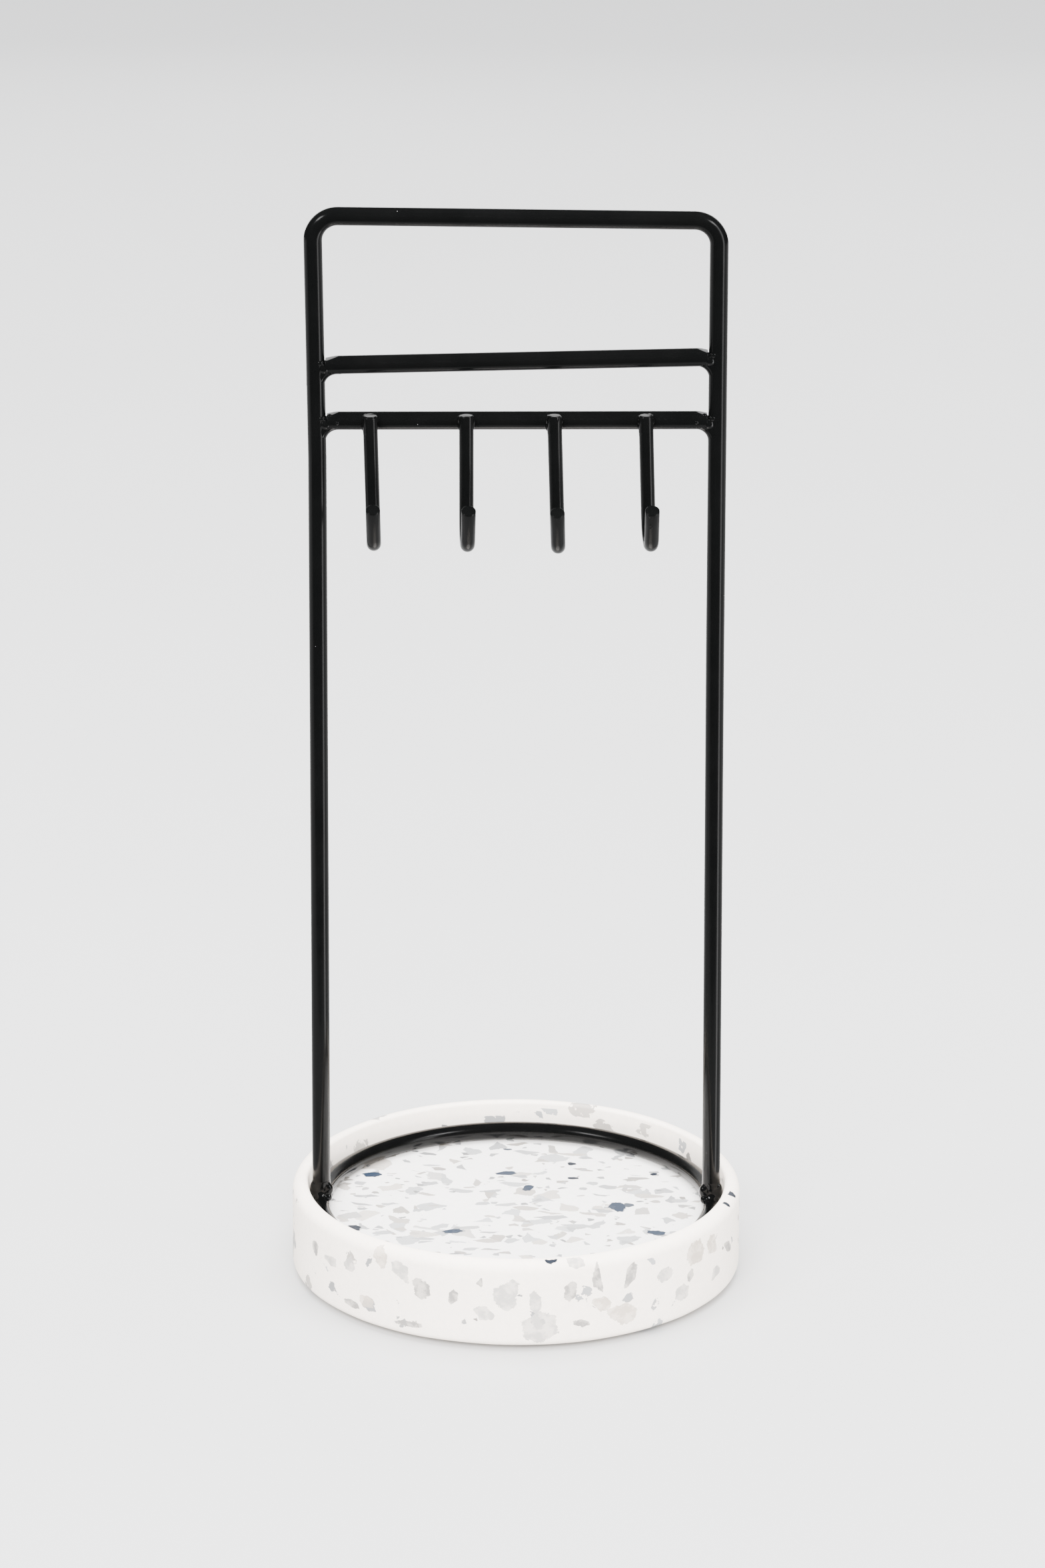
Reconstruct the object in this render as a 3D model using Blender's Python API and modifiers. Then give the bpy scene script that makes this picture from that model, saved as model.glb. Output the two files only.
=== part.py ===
"""Small hook stand: a black steel wire frame with four J-hooks, standing in a round terrazzo tray.

Units are metres and +Z is up. The origin is on the tray's axis, at the height of the
surface that the stand rests on. +X runs along the crossbars and the hooks face -Y.
"""

import math

import bmesh
import bpy
from mathutils import Vector

MM = 0.001

# Clearance that is left between two pieces which touch on the real stand.
GAP = 0.3 * MM

# Cast tray and the pads under it.
TRAY_RADIUS = 75.0 * MM
TRAY_HEIGHT = 29.5 * MM
WALL = 5.2 * MM
FLOOR_THICKNESS = 17.2 * MM
RIM_OUTER_ROUND = 3.9 * MM
RIM_INNER_ROUND = 1.3 * MM
FLOOR_FILLET = 2.0 * MM
FOOT_ROUND = 2.2 * MM
TRAY_SEGMENTS = 80

PAD_RADIUS = 6.0 * MM
PAD_THICKNESS = 1.5 * MM
PAD_CIRCLE = 56.0 * MM

# Coated steel rod of the frame and of the hooks.
FRAME_WIRE = 3.0 * MM
HOOK_WIRE = 2.35 * MM

# Frame, as it was bent and welded by hand: each leg stands at LEG_X on the ring, has a
# slight knee on the way up, and ends at its own place under the top bar. Each bar's two
# heights are at its -X and its +X end.
LEG_X = 65.4 * MM
LEFT_KNEE = (-65.7 * MM, 282.0 * MM)
RIGHT_KNEE = (64.1 * MM, 217.0 * MM)
TOP_X = (-67.0 * MM, 63.5 * MM)
CORNER_RADIUS = 8.0 * MM
TOP_BAR_Z = (362.6 * MM, 361.7 * MM)
UPPER_BAR_Z = (313.1 * MM, 316.5 * MM)
LOWER_BAR_Z = (294.5 * MM, 295.4 * MM)
RING_RADIUS = 65.5 * MM

# Hooks: place of the top, sideways lean over the shank, turn of the tip, height of the bend.
HOOKS = (
    (-48.5 * MM, 0.9 * MM, 1.8, 264.8 * MM),
    (-17.4 * MM, 0.1 * MM, 2.6, 264.6 * MM),
    (11.0 * MM, 1.1 * MM, 0.7, 264.2 * MM),
    (40.5 * MM, 1.1 * MM, 3.5, 265.0 * MM),
)
HOOK_RISE = 0.4 * MM
HOOK_BEND_RADIUS = 7.5 * MM
HOOK_TURN = 150.0
HOOK_TIP_LENGTH = 13.0 * MM

# Heights and depths that follow from the pieces resting on each other.
TRAY_BASE = PAD_THICKNESS + GAP
FLOOR_Z = TRAY_BASE + FLOOR_THICKNESS
RIM_Z = TRAY_BASE + TRAY_HEIGHT
RING_Z = FLOOR_Z + GAP + FRAME_WIRE
LEG_FOOT_Z = RING_Z + FRAME_WIRE + GAP
HOOK_Y = -(FRAME_WIRE + GAP + HOOK_WIRE)

ROD_ROUNDNESS = 4
ARC_STEPS = 8


def clear_scene():
    for obj in list(bpy.data.objects):
        bpy.data.objects.remove(obj, do_unlink=True)


def make_collection(name):
    collection = bpy.data.collections.new(name)
    bpy.context.scene.collection.children.link(collection)
    return collection


def make_material(name, color, roughness, metallic=0.0):
    material = bpy.data.materials.new(name)
    material.use_nodes = True
    shader = material.node_tree.nodes["Principled BSDF"]
    shader.inputs["Base Color"].default_value = (*color, 1.0)
    shader.inputs["Roughness"].default_value = roughness
    shader.inputs["Metallic"].default_value = metallic
    return material


def move_to(obj, collection):
    for owner in list(obj.users_collection):
        owner.objects.unlink(obj)
    collection.objects.link(obj)


def finish_piece(obj, name, material, parent=None):
    """Names a piece, gives it its material and puts it among the stand's parts."""
    obj.name = name
    obj.data.name = name
    obj.data.materials.clear()
    obj.data.materials.append(material)
    move_to(obj, PARTS)
    if parent is not None:
        obj.parent = parent
    return obj


def shade_round(mesh, angle=40.0):
    mesh.shade_smooth()
    mesh.set_sharp_from_angle(angle=math.radians(angle))


def arc(center, radius, start, end, steps=ARC_STEPS):
    """Points on an arc in a plane, from the start angle to the end angle in degrees."""
    points = []
    for step in range(steps + 1):
        angle = math.radians(start + (end - start) * step / steps)
        points.append((center[0] + radius * math.cos(angle), center[1] + radius * math.sin(angle)))
    return points


def between(low, high, z):
    """The x at height z on the straight line through two (x, z) points."""
    return low[0] + (high[0] - low[0]) * (z - low[1]) / (high[1] - low[1])


def leg_x(side, z):
    """Where the left (0) or right (1) leg's centre line is at height z."""
    foot = ((-LEG_X, LEG_X)[side], LEG_FOOT_Z)
    knee = (LEFT_KNEE, RIGHT_KNEE)[side]
    top = (TOP_X[side], TOP_BAR_Z[side])
    if z < knee[1]:
        return between(foot, knee, z)
    return between(knee, top, z)


def rod_curve(name, points, radius):
    """A straight or bent rod with flat cut ends, along a line of points."""
    curve = bpy.data.curves.new(name, "CURVE")
    curve.dimensions = "3D"
    curve.bevel_depth = radius
    curve.bevel_resolution = ROD_ROUNDNESS
    curve.use_fill_caps = True
    spline = curve.splines.new("POLY")
    spline.points.add(len(points) - 1)
    for point, place in zip(spline.points, points):
        point.co = (*place, 1.0)
    spline.use_smooth = True
    obj = bpy.data.objects.new(name, curve)
    PARTS.objects.link(obj)
    return obj


def rod_cutter(name, points, radius):
    """The same rod as a closed mesh, GAP thicker and longer, for cutting its neighbours."""
    first = points[0] + (points[0] - points[1]).normalized() * GAP
    last = points[-1] + (points[-1] - points[-2]).normalized() * GAP
    curve = rod_curve(name + "_curve", [first, *points[1:-1], last], radius + GAP)
    bpy.context.view_layer.update()
    evaluated = curve.evaluated_get(bpy.context.evaluated_depsgraph_get())
    mesh = bpy.data.meshes.new_from_object(evaluated)
    cap_weld = bmesh.new()
    cap_weld.from_mesh(mesh)
    bmesh.ops.remove_doubles(cap_weld, verts=cap_weld.verts, dist=0.01 * MM)
    cap_weld.to_mesh(mesh)
    cap_weld.free()
    cutter = bpy.data.objects.new(name, mesh)
    cutter.matrix_world = curve.matrix_world
    bpy.data.objects.remove(curve, do_unlink=True)
    return as_cutter(cutter)


def as_cutter(obj):
    if obj.users_collection:
        move_to(obj, CUTTERS)
    else:
        CUTTERS.objects.link(obj)
    obj.hide_render = True
    obj.display_type = "WIRE"
    return obj


def cut(obj, cutter):
    modifier = obj.modifiers.new("cut_" + cutter.name, "BOOLEAN")
    modifier.operation = "DIFFERENCE"
    modifier.solver = "EXACT"
    modifier.object = cutter


def tray_outline():
    """Half section of the tray, from the middle of its floor over the rim to its underside."""
    inner = TRAY_RADIUS - WALL
    outline = [(0.0, FLOOR_Z)]
    outline += arc((inner - FLOOR_FILLET, FLOOR_Z + FLOOR_FILLET), FLOOR_FILLET, -90, 0, 4)
    outline += arc((inner + RIM_INNER_ROUND, RIM_Z - RIM_INNER_ROUND), RIM_INNER_ROUND, 180, 90, 4)
    outline += arc((TRAY_RADIUS - RIM_OUTER_ROUND, RIM_Z - RIM_OUTER_ROUND), RIM_OUTER_ROUND, 90, 0, 6)
    outline += arc((TRAY_RADIUS - FOOT_ROUND, TRAY_BASE + FOOT_ROUND), FOOT_ROUND, 0, -90, 4)
    outline.append((0.0, TRAY_BASE))
    return outline


def build_tray():
    outline = tray_outline()
    mesh = bpy.data.meshes.new("terrazzo_tray")
    edges = [(index, index + 1) for index in range(len(outline) - 1)]
    mesh.from_pydata([(x, 0.0, z) for x, z in outline], edges, [])
    tray = bpy.data.objects.new("terrazzo_tray", mesh)
    screw = tray.modifiers.new("turn", "SCREW")
    screw.axis = "Z"
    screw.angle = math.radians(360.0)
    screw.steps = TRAY_SEGMENTS
    screw.render_steps = TRAY_SEGMENTS
    screw.use_merge_vertices = True
    screw.merge_threshold = 0.01 * MM
    screw.use_smooth_shade = True
    PARTS.objects.link(tray)
    finish_piece(tray, "terrazzo_tray", TERRAZZO)


def build_pads():
    places = {"front_left": 225, "front_right": 315, "back_right": 45, "back_left": 135}
    for corner, degrees in places.items():
        angle = math.radians(degrees)
        bpy.ops.mesh.primitive_cylinder_add(
            vertices=32,
            radius=PAD_RADIUS,
            depth=PAD_THICKNESS,
            location=(PAD_CIRCLE * math.cos(angle), PAD_CIRCLE * math.sin(angle), PAD_THICKNESS / 2),
        )
        pad = bpy.context.object
        shade_round(pad.data)
        finish_piece(pad, corner + "_foot_pad", SILICONE)


def build_ring(parent):
    bpy.ops.mesh.primitive_torus_add(
        major_radius=RING_RADIUS,
        minor_radius=FRAME_WIRE,
        major_segments=TRAY_SEGMENTS,
        minor_segments=12,
        location=(0.0, 0.0, RING_Z),
    )
    ring = bpy.context.object
    ring.data.shade_smooth()
    finish_piece(ring, "base_ring", BLACK_STEEL, parent)


def ring_cutter():
    bpy.ops.mesh.primitive_torus_add(
        major_radius=RING_RADIUS,
        minor_radius=FRAME_WIRE + GAP,
        major_segments=TRAY_SEGMENTS,
        minor_segments=12,
        location=(0.0, 0.0, RING_Z),
    )
    cutter = bpy.context.object
    cutter.name = "ring_cutter"
    return as_cutter(cutter)


def upright_path():
    """Centre line of the rod that is bent into both legs and the top bar."""
    bend_z = (TOP_BAR_Z[0] - CORNER_RADIUS, TOP_BAR_Z[1] - CORNER_RADIUS)
    outline = [(-LEG_X, LEG_FOOT_Z), LEFT_KNEE]
    outline += arc((leg_x(0, bend_z[0]) + CORNER_RADIUS, bend_z[0]), CORNER_RADIUS, 180, 90)
    outline += arc((leg_x(1, bend_z[1]) - CORNER_RADIUS, bend_z[1]), CORNER_RADIUS, 90, 0)
    outline += [RIGHT_KNEE, (LEG_X, LEG_FOOT_Z)]
    return [Vector((x, 0.0, z)) for x, z in outline]


def bar_path(heights):
    """Centre line of a crossbar that is cut square to fit between the legs."""
    reach = FRAME_WIRE + GAP
    left = Vector((leg_x(0, heights[0]) + reach, 0.0, heights[0]))
    right = Vector((leg_x(1, heights[1]) - reach, 0.0, heights[1]))
    return [left, right]


def lower_bar_height(x):
    left, right = bar_path(LOWER_BAR_Z)
    return left.z + (right.z - left.z) * (x - left.x) / (right.x - left.x)


def hook_path(top_x, lean, turn, bend_z):
    """Centre line of a J-hook: down the shank, round the bend and out along the flared tip."""
    top_z = lower_bar_height(top_x) + FRAME_WIRE + HOOK_RISE
    heading = math.radians(turn)
    forward = Vector((math.sin(heading), -math.cos(heading), 0.0))
    bend_start = Vector((top_x + lean, HOOK_Y, bend_z))
    points = [Vector((top_x, HOOK_Y, top_z))]
    for depth, drop in arc((0.0, 0.0), HOOK_BEND_RADIUS, 180, 180 + HOOK_TURN, 10):
        points.append(bend_start + forward * (HOOK_BEND_RADIUS + depth) + Vector((0.0, 0.0, drop)))
    flare = math.radians(180.0 - HOOK_TURN)
    tip = forward * math.sin(flare) + Vector((0.0, 0.0, math.cos(flare)))
    points.append(points[-1] + tip * HOOK_TIP_LENGTH)
    return points


def weld_bead(name, center, radii, cutters, parent):
    """A bead of weld metal that fills the corner between two rods and hugs both of them."""
    bpy.ops.mesh.primitive_uv_sphere_add(segments=16, ring_count=8, radius=1.0, location=center)
    bead = bpy.context.object
    bead.scale = radii
    bpy.ops.object.transform_apply(location=False, rotation=False, scale=True)
    bead.data.shade_smooth()
    for cutter in cutters:
        cut(bead, cutter)
    finish_piece(bead, name, WELD_BLACK, parent)


def build_frame():
    lift = bpy.data.objects.new("frame_lift", None)
    lift.empty_display_size = 20.0 * MM
    PARTS.objects.link(lift)

    build_ring(lift)
    uprights = upright_path()
    finish_piece(rod_curve("upright_frame", uprights, FRAME_WIRE), "upright_frame", BLACK_STEEL, lift)
    upright_cutter = rod_cutter("upright_cutter", uprights, FRAME_WIRE)

    foot_cutters = [upright_cutter, ring_cutter()]
    for side, name in ((-1, "left"), (1, "right")):
        center = (side * LEG_X, 0.0, LEG_FOOT_Z)
        radii = (3.95 * MM, 5.0 * MM, 5.4 * MM)
        weld_bead(name + "_foot_weld", center, radii, foot_cutters, lift)

    bar_cutters = {}
    for level, heights in (("upper", UPPER_BAR_Z), ("lower", LOWER_BAR_Z)):
        name = level + "_crossbar"
        path = bar_path(heights)
        finish_piece(rod_curve(name, path, FRAME_WIRE), name, BLACK_STEEL, lift)
        bar_cutters[level] = rod_cutter(level + "_bar_cutter", path, FRAME_WIRE)
        for end, side in zip(path, ("left", "right")):
            center = end - Vector((0.0, 0.0, 1.2 * MM))
            radii = (2.7 * MM, 3.7 * MM, 4.7 * MM)
            cutters = [upright_cutter, bar_cutters[level]]
            weld_bead(level + "_weld_" + side, center, radii, cutters, lift)

    for number, hook in enumerate(HOOKS, start=1):
        name = "hook_" + str(number)
        path = hook_path(*hook)
        finish_piece(rod_curve(name, path, HOOK_WIRE), name, BLACK_STEEL, lift)
        hook_cutter = rod_cutter(name + "_cutter", path, HOOK_WIRE)
        center = (hook[0], -FRAME_WIRE - GAP / 2, lower_bar_height(hook[0]))
        radii = (3.6 * MM, 2.0 * MM, 3.2 * MM)
        weld_bead(name + "_weld", center, radii, [bar_cutters["lower"], hook_cutter], lift)


clear_scene()
PARTS = make_collection("hook_stand")
CUTTERS = make_collection("cutters")
TERRAZZO = make_material("terrazzo", (0.86, 0.855, 0.835), 0.38)
BLACK_STEEL = make_material("black_coated_steel", (0.012, 0.013, 0.014), 0.22, 0.0)
WELD_BLACK = make_material("coated_weld", (0.010, 0.011, 0.012), 0.28, 0.0)
SILICONE = make_material("clear_silicone", (0.55, 0.55, 0.53), 0.55)
build_tray()
build_pads()
build_frame()
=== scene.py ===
# %% [markdown]
# # A hook stand with a terrazzo tray
# The object is a little stand for rings, keys and necklaces. A bent steel rod makes a tall arch,
# two crossbars are welded across it, and four hooks hang from the lower one. The arch stands on
# a steel ring, and the ring lies loose in a round tray of cast terrazzo.
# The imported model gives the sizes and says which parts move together. This lesson builds the
# finished surfaces round it, one piece at a time, the way they would be modelled by hand.

# %% Load the frame
import math
import random

import bmesh
import bpy
from mathutils import Matrix, Vector


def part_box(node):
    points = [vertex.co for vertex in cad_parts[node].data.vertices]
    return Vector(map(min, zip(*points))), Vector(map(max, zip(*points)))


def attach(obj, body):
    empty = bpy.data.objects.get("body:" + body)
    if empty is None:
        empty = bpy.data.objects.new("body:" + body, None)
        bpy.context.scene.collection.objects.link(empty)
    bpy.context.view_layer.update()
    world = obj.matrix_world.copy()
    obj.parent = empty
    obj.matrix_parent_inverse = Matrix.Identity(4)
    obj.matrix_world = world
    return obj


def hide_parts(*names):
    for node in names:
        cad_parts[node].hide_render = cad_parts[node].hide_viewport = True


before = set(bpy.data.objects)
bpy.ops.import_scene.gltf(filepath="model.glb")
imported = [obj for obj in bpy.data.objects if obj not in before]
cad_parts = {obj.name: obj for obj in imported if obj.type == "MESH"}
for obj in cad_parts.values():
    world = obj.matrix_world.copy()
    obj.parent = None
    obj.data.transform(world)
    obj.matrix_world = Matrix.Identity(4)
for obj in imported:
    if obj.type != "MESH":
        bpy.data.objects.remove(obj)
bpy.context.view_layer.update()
MM = 0.001

# %% [markdown]
# ## Sizes
# Every size that can be read from the frame is read from it, so a piece can't drift away from
# the part it stands for. A rod's radius is half the height of a level bar, the tray's radius is
# half its width, and so on.

# %% Sizes from the frame
tray_low, tray_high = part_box("terrazzo_tray")
TRAY_RADIUS = (tray_high.x - tray_low.x) / 2
RIM_Z = tray_high.z
TRAY_BASE = tray_low.z
ring_low, ring_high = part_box("base_ring")
ROD_RADIUS = (ring_high.z - ring_low.z) / 2
RING_Z = (ring_high.z + ring_low.z) / 2
RING_RADIUS = (ring_high.x - ring_low.x) / 2 - ROD_RADIUS
HOOK_RADIUS = 2.35 * MM
FLOOR_Z = ring_low.z - 0.3 * MM
print(f"tray radius {TRAY_RADIUS / MM:.1f}, rim at {RIM_Z / MM:.1f}, floor at {FLOOR_Z / MM:.1f}")
print(f"rod radius {ROD_RADIUS / MM:.2f}, ring radius {RING_RADIUS / MM:.1f} at {RING_Z / MM:.1f}")

# %% [markdown]
# ## Camera
# The camera looks at the middle of the stand from a little above. A long lens from far away
# keeps the two legs almost parallel, as in a catalogue picture.

# %% Camera
CAMERA_PITCH = math.radians(18.783)
CAMERA_ROLL = math.radians(0.314)
CAMERA_DISTANCE = 2.301
CAMERA_LENS = 160.47
camera_aim = Vector((0.001356, 0, 0.1707))
camera_data = bpy.data.cameras.new("camera")
camera = bpy.data.objects.new("camera", camera_data)
bpy.context.scene.collection.objects.link(camera)
camera_data.sensor_width = 36
camera_data.lens = CAMERA_LENS
camera_data.clip_start = 0.1
camera_data.clip_end = 20
back = Vector((0, -math.cos(CAMERA_PITCH), math.sin(CAMERA_PITCH)))
camera.matrix_world = (
    Matrix.Translation(camera_aim + back * CAMERA_DISTANCE)
    @ Matrix.Rotation(math.pi / 2 - CAMERA_PITCH, 4, "X")
    @ Matrix.Rotation(CAMERA_ROLL, 4, "Z")
)
bpy.context.scene.camera = camera
print("camera at", [round(v, 3) for v in camera.matrix_world.translation])

# %% [markdown]
# ## Working by hand
# Each piece starts as a primitive and is shaped in edit mode. These helpers do what a hand does
# with the mouse: take a piece into edit mode with nothing picked, pick edges or faces by where
# they are, and leave again. Nothing may be picked beforehand, because an operator acts on all
# that is picked.


# %% Edit mode helpers
def deselect_everything():
    for thing in bpy.context.selected_objects:
        thing.select_set(False)


def name_and_open(name):
    """The new primitive gets its name, its place goes into the mesh, and it opens for editing."""
    piece = bpy.context.object
    piece.name = piece.data.name = name
    bpy.ops.object.transform_apply(location=True, rotation=True, scale=True)
    bpy.ops.object.mode_set(mode="EDIT")
    return piece


def pick(piece, kind, test):
    """Selects the faces, edges or verts of an open piece that pass the test."""
    bpy.ops.mesh.select_mode(type=kind)
    bpy.ops.mesh.select_all(action="DESELECT")
    mesh = bmesh.from_edit_mesh(piece.data)
    found = {"FACE": mesh.faces, "EDGE": mesh.edges, "VERT": mesh.verts}[kind]
    for part in found:
        if test(part):
            part.select_set(True)
    mesh.select_flush_mode()
    bmesh.update_edit_mesh(piece.data)


def middle(part):
    """The middle of an edge or a face."""
    return sum((v.co for v in part.verts), Vector()) / len(part.verts)


def close_piece(smooth_angle=35):
    """Back to object mode, with soft shading except at sharp corners."""
    bpy.ops.object.mode_set(mode="OBJECT")
    bpy.ops.object.shade_smooth_by_angle(angle=math.radians(smooth_angle))


# %% Modifier and hand-over helpers
def apply_modifier(piece, kind, **settings):
    """Adds a modifier, sets it and applies it, so the mesh is final."""
    deselect_everything()
    piece.select_set(True)
    bpy.context.view_layer.objects.active = piece
    modifier = piece.modifiers.new(kind.title(), kind)
    for key, value in settings.items():
        setattr(modifier, key, value)
    bpy.ops.object.modifier_apply(modifier=modifier.name)


def hand_over(piece, body, slot, material, *nodes):
    """The finished piece rides on its body, takes its finish and stands for its frame nodes."""
    piece.data.materials.clear()
    piece.data.materials.append(material)
    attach(piece, body)
    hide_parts(*nodes)
    print(f"{piece.name}: {len(piece.data.polygons)} faces, stands for {nodes or 'itself'}")


# %% [markdown]
# ## Building materials from nodes
# A material here is a small chain of nodes that works out a colour, a roughness and a bump for
# every point, from the point's own place on the object. `Sheet` below is only a shorter way to
# write such chains: it adds a node, sets its values and joins its inputs in one line. Effects
# that several finishes share are made once as groups and dropped into each material.


# %% Node helpers
class Sheet:
    """A node tree that nodes are added to, one line each."""

    def __init__(self, tree):
        self.tree = tree

    def add(self, kind, inputs=(), **settings):
        node = self.tree.nodes.new(kind)
        for key, value in settings.items():
            setattr(node, key, value)
        for key, value in dict(inputs).items():
            self.join(value, node.inputs[key])
        return node

    def join(self, value, socket):
        if isinstance(value, bpy.types.NodeSocket):
            self.tree.links.new(value, socket)
        else:
            socket.default_value = value

    def math(self, operation, first, second=0.0):
        node = self.add("ShaderNodeMath", {0: first, 1: second}, operation=operation)
        return node.outputs[0]

    def vector(self, operation, first, second=(0, 0, 0)):
        node = self.add("ShaderNodeVectorMath", {0: first, 1: second}, operation=operation)
        is_number = operation in ("LENGTH", "DOT_PRODUCT")
        return node.outputs["Value" if is_number else "Vector"]

    def scaled(self, vector, amount):
        node = self.add("ShaderNodeVectorMath", {0: vector}, operation="SCALE")
        self.join(amount, node.inputs["Scale"])
        return node.outputs["Vector"]

    def step(self, value, low, high, to_low=0.0, to_high=1.0):
        """Runs smoothly from to_low to to_high as value goes from low to high."""
        inputs = {"Value": value, "From Min": low, "From Max": high}
        inputs.update({"To Min": to_low, "To Max": to_high})
        node = self.add("ShaderNodeMapRange", inputs, interpolation_type="SMOOTHSTEP")
        return node.outputs["Result"]

    def mix(self, share, first, second):
        """Two colours mixed by a share from 0 to 1."""
        node = self.add("ShaderNodeMix", {0: share, 6: first, 7: second}, data_type="RGBA")
        return node.outputs[2]

    def noise(self, place, scale, detail=2.0, roughness=0.5):
        inputs = {"Vector": place, "Scale": scale, "Detail": detail, "Roughness": roughness}
        return self.add("ShaderNodeTexNoise", inputs)


def new_group(name, inputs, outputs):
    """A node group with named sockets. Returns its sheet, its input sockets and its output node."""
    group = bpy.data.node_groups.new(name, "ShaderNodeTree")
    for socket_name, kind, default in inputs:
        kind_name = {"value": "NodeSocketFloat", "vector": "NodeSocketVector"}[kind]
        made = group.interface.new_socket(socket_name, in_out="INPUT", socket_type=kind_name)
        made.default_value = default
    for socket_name, kind in outputs:
        kind_name = {"value": "NodeSocketFloat", "vector": "NodeSocketVector"}[kind]
        group.interface.new_socket(socket_name, in_out="OUTPUT", socket_type=kind_name)
    source = group.nodes.new("NodeGroupInput")
    target = group.nodes.new("NodeGroupOutput")
    return Sheet(group), source.outputs, target


def use_group(sheet, name, **inputs):
    """Drops a group into a sheet. An input called half_size is the socket Half Size."""
    node = sheet.add("ShaderNodeGroup", node_tree=bpy.data.node_groups[name])
    for key, value in inputs.items():
        sheet.join(value, node.inputs[key.replace("_", " ").title()])
    return node.outputs


def new_material(name):
    material = bpy.data.materials.new(name)
    material.use_nodes = True
    sheet = Sheet(material.node_tree)
    shader = material.node_tree.nodes["Principled BSDF"]
    place = sheet.add("ShaderNodeTexCoord").outputs["Object"]
    in_mm = sheet.vector("MULTIPLY", place, (1000, 1000, 1000))
    return material, sheet, shader, in_mm


def grey(value, warmth=0.0):
    """A grey colour. Warmth above zero leans to cream, below zero to blue."""
    return (value * (1 + warmth), value, value * (1 - warmth), 1)


# %% [markdown]
# ## Chips scattered in a casting
# Terrazzo is a pale binder with broken stone stirred in. When the surface is ground, the cut
# stones show as flat shapes with straight, sharp breaks. Voronoi cells have just that outline,
# so one layer of chips is one Voronoi pattern: a gap is kept along the cell edges, some cells
# are left out at random, and the place is warped a little so that the breaks aren't ruled
# lines. Each chip also gets a random number, to give it its own shade.

# %% Group: a layer of chips
sheet, source, target = new_group(
    "chip layer",
    [
        ("Vector", "vector", (0, 0, 0)),
        ("Turn", "vector", (0, 0, 0)),
        ("Stretch", "vector", (1, 1, 1)),
        ("Cell Size", "value", 8.0),
        ("Gap", "value", 0.1),
        ("Share", "value", 0.5),
        ("Warp", "value", 0.8),
        ("Tear", "value", 0.0),
    ],
    [("Mask", "value"), ("Random", "value"), ("Second Random", "value")],
)
turned = sheet.add(
    "ShaderNodeMapping",
    {"Vector": source["Vector"], "Rotation": source["Turn"], "Scale": source["Stretch"]},
).outputs[0]
coarse = sheet.noise(turned, 0.22, 1.0)
fine = sheet.noise(turned, 1.3, 4.0, 0.65)
wobble = sheet.scaled(
    sheet.vector("SUBTRACT", coarse.outputs["Color"], (0.5, 0.5, 0.5)),
    sheet.math("MULTIPLY", source["Warp"], 3.2),
)
jitter = sheet.scaled(
    sheet.vector("SUBTRACT", fine.outputs["Color"], (0.5, 0.5, 0.5)), source["Warp"]
)
warped = sheet.vector("ADD", sheet.vector("ADD", turned, wobble), jitter)
scale = sheet.math("DIVIDE", 1.0, source["Cell Size"])
cells = sheet.add("ShaderNodeTexVoronoi", {"Vector": warped, "Scale": scale}, feature="F1")
edges = sheet.add(
    "ShaderNodeTexVoronoi", {"Vector": warped, "Scale": scale}, feature="DISTANCE_TO_EDGE"
)
draw = sheet.add("ShaderNodeSeparateColor", {0: cells.outputs["Color"]}).outputs
kept = sheet.math("LESS_THAN", draw[0], source["Share"])
torn = sheet.step(sheet.noise(turned, 0.42, 3.0, 0.6).outputs["Fac"], 0.45, 0.72)
own_gap = sheet.math("MULTIPLY", source["Gap"], sheet.math("ADD", draw[1], 0.5))
own_gap = sheet.math("ADD", own_gap, sheet.math("MULTIPLY", torn, source["Tear"]))
inside = sheet.step(
    sheet.math("SUBTRACT", edges.outputs["Distance"], own_gap), 0.0, 0.015
)
sheet.join(sheet.math("MULTIPLY", kept, inside), target.inputs["Mask"])
sheet.join(draw[1], target.inputs["Random"])
sheet.join(draw[2], target.inputs["Second Random"])
print("group:", sheet.tree.name)

# %% [markdown]
# ## Chips that have their own place
# A few stones catch the eye, such as the blue and slate ones on the floor. Those are listed one
# by one: each has a centre, half sizes and a turn. Stone breaks along flat planes, so a chip's
# outline is what is left inside six straight cuts. Each cut's depth differs from chip to chip,
# and noise frays the edge. A shader can only hold so many values at a time, so each chip hands
# the place on to the next: they are then worked out one after another.

# %% Group: one placed chip
CUT_ANGLES = (8, 70, 125, 190, 248, 305)
sheet, source, target = new_group(
    "placed chip",
    [
        ("Vector", "vector", (0, 0, 0)),
        ("Fray", "vector", (0, 0, 0)),
        ("Centre", "vector", (0, 0, 0)),
        ("Half Size", "vector", (1, 1, 1)),
        ("Turn", "vector", (0, 0, 0)),
        ("Ragged", "value", 0.5),
        ("Right Cuts", "vector", (1, 1, 1)),
        ("Left Cuts", "vector", (1, 1, 1)),
    ],
    [("Mask", "value"), ("Vector", "vector")],
)
local = sheet.add(
    "ShaderNodeMapping",
    {
        "Vector": source["Vector"],
        "Location": source["Centre"],
        "Rotation": source["Turn"],
        "Scale": source["Half Size"],
    },
    vector_type="TEXTURE",
).outputs[0]
local = sheet.vector("ADD", local, sheet.scaled(source["Fray"], source["Ragged"]))
reach = sheet.math("ABSOLUTE", sheet.add("ShaderNodeSeparateXYZ", {0: local}).outputs[2])
depths = []
for side in ("Right Cuts", "Left Cuts"):
    depths += list(sheet.add("ShaderNodeSeparateXYZ", {0: source[side]}).outputs)
for angle, depth in zip(CUT_ANGLES, depths):
    normal = (math.cos(math.radians(angle)), math.sin(math.radians(angle)), 0)
    out = sheet.vector("DOT_PRODUCT", local, normal)
    reach = sheet.math("MAXIMUM", reach, sheet.math("DIVIDE", out, depth))
mask = sheet.step(reach, 1.01, 0.96)
sheet.join(mask, target.inputs["Mask"])
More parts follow.
